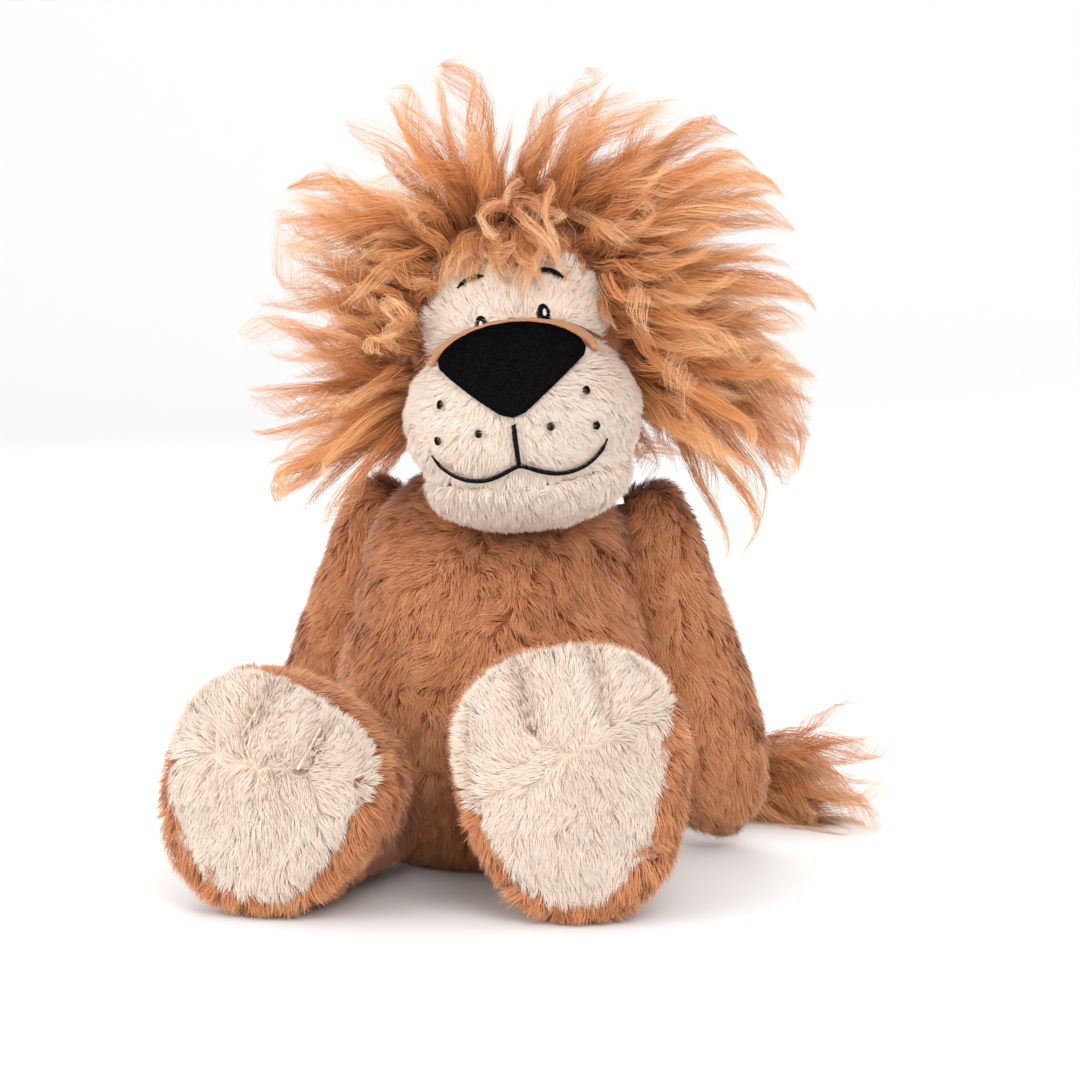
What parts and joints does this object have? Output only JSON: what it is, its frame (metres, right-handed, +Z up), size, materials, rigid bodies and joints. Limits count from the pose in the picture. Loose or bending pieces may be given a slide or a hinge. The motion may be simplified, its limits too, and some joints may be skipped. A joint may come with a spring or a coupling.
{
  "type": "plush lion",
  "caption": "Seated plush lion with a stuffed body, jointed head, arms, legs and tail, a long-pile mane and an embroidered face.",
  "frame": {"origin": "on the ground, on the flat seat panel, under the middle of the body", "axes": "+Z up, -Y towards the lion's front, +X towards its left side"},
  "size_m": [0.281, 0.3109, 0.347],
  "materials": {
    "brown_plush": "short caramel-brown pile",
    "cream_plush": "short cream pile",
    "mane_pile": "long wavy golden-brown pile",
    "orange_velour": "smooth orange-tan velour",
    "black_velour": "matt black velour",
    "black_thread": "black satin stitch",
    "white_thread": "white satin stitch",
    "brown_thread": "brown sewing thread",
    "cream_thread": "cream sewing thread",
    "lining": "plain woven lining"
  },
  "bodies": {
    "torso": {"body": "brown_plush", "seat_panel": "brown_plush", "pellet_bag": "lining"},
    "neck": {"neck_stitch": "brown_thread"},
    "head": {"head": "brown_plush", "face_panel": "cream_plush", "muzzle": "cream_plush", "chin": "cream_plush", "nose_bridge": "orange_velour", "nose": "black_velour", "philtrum_stitch": "black_thread", "mouth_stitch": "black_thread", "whisker_dot_inner_left": "black_thread", "whisker_dot_outer_left": "black_thread", "whisker_dot_upper_left": "black_thread", "whisker_dot_inner_right": "black_thread", "whisker_dot_outer_right": "black_thread", "whisker_dot_upper_right": "black_thread", "eye_left": "black_thread", "eye_right": "black_thread", "eye_glint_left": "white_thread", "eye_glint_right": "white_thread", "eyebrow_left": "black_thread", "eyebrow_right": "black_thread", "mane_cheek_left": "mane_pile", "mane_cheek_right": "mane_pile", "mane_back_left": "mane_pile", "mane_back_right": "mane_pile", "mane_crown_left": "mane_pile", "mane_crown_right": "mane_pile", "mane_forelock": "mane_pile"},
    "arm_left": {"arm_left": "brown_plush"},
    "arm_right": {"arm_right": "brown_plush"},
    "leg_left": {"leg_left": "brown_plush", "sole_left": "cream_plush", "toe_stitch_inner_left": "cream_thread", "toe_stitch_outer_left": "cream_thread"},
    "leg_right": {"leg_right": "brown_plush", "sole_right": "cream_plush", "toe_stitch_inner_right": "cream_thread", "toe_stitch_outer_right": "cream_thread"},
    "tail": {"tail": "brown_plush", "tail_tuft": "mane_pile"}
  },
  "joints": [
    {"name": "head_turn", "type": "hinge", "parent": "torso", "child": "neck", "pos_m": [0.012, 0, 0.226], "axis": [0, 0, 1], "range_deg": [-15, 15]},
    {"name": "head_nod", "type": "hinge", "parent": "neck", "child": "head", "pos_m": [0.012, 0, 0.226], "axis": [-0.9877, -0.1564, 0], "range_deg": [0, 8]},
    {"name": "shoulder_left", "type": "hinge", "parent": "torso", "child": "arm_left", "pos_m": [0.05, 0.024, 0.156], "axis": [0, -1, 0], "range_deg": [0, 34]},
    {"name": "shoulder_right", "type": "hinge", "parent": "torso", "child": "arm_right", "pos_m": [-0.05, 0.024, 0.156], "axis": [0, 1, 0], "range_deg": [0, 34]},
    {"name": "hip_left", "type": "hinge", "parent": "torso", "child": "leg_left", "pos_m": [0.044, -0.074, 0.033], "axis": [-0.9455, -0.3256, 0], "range_deg": [-8, 12]},
    {"name": "hip_right", "type": "hinge", "parent": "torso", "child": "leg_right", "pos_m": [-0.044, -0.074, 0.033], "axis": [-0.9877, 0.1564, 0], "range_deg": [-8, 12]},
    {"name": "tail_swing", "type": "hinge", "parent": "torso", "child": "tail", "pos_m": [0, 0.0695, 0.026], "axis": [0, 0, 1], "range_deg": [-8, 30]}
  ]
}
